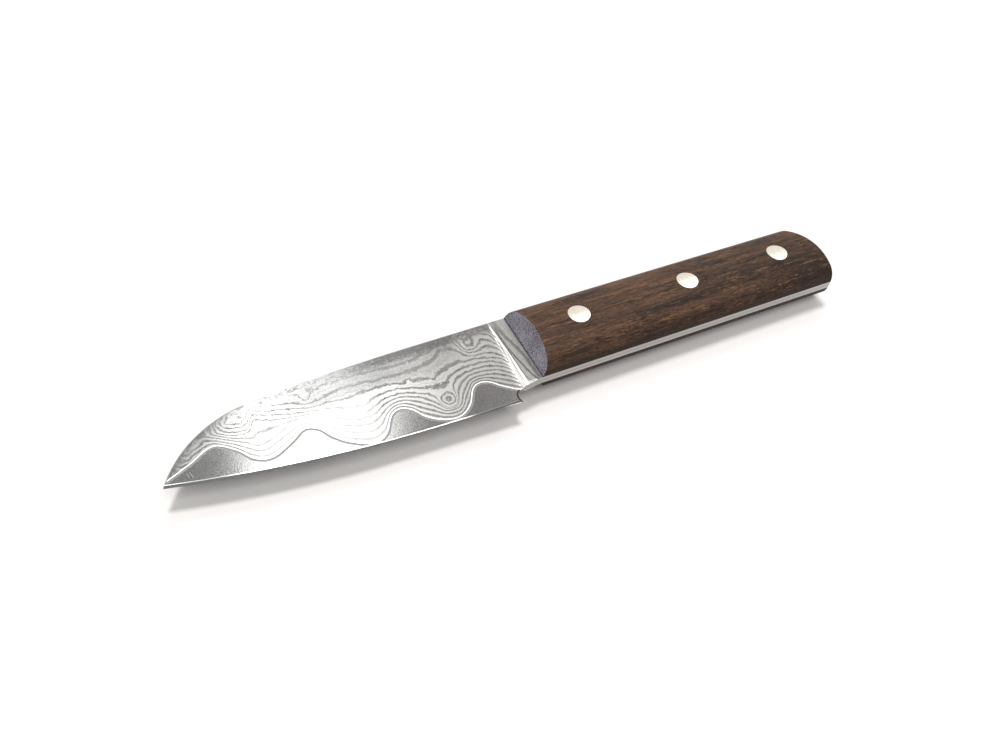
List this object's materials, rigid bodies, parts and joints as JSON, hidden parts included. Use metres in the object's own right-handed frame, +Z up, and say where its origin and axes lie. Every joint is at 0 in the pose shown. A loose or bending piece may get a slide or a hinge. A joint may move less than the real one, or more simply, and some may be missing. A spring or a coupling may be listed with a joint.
{
  "type": "kitchen knife",
  "caption": "Small kitchen knife with a patterned three-layer steel blade, wavy bare cutting core, full tang and riveted dark wooden scales.",
  "frame": {"origin": "Under the middle of the knife as it lies on its right scale: the middle of its bounding box in X and Y, at the height of that scale's crown.", "axes": "+X from the tip to the butt, +Y from the edge to the spine, +Z up and square to the blade's middle plane."},
  "size_m": [0.1987, 0.0274, 0.0152],
  "materials": {
    "core_steel": "etched to a matte dark grey, with bright sharpened bevels",
    "cladding_steel": "etched satin, with a fine pattern of folded bright and dark layers",
    "wood": "oiled, dark brown with black and orange-brown streaks",
    "rivet_metal": "nickel silver, ground flush and polished"
  },
  "bodies": {
    "root": {"blade_core": "core_steel", "cladding_left": "cladding_steel", "cladding_right": "cladding_steel", "scale_left": "wood", "scale_right": "wood", "rivet_socket_front": "rivet_metal", "rivet_socket_middle": "rivet_metal", "rivet_socket_rear": "rivet_metal", "rivet_stud_front": "rivet_metal", "rivet_stud_middle": "rivet_metal", "rivet_stud_rear": "rivet_metal"}
  },
  "joints": []
}
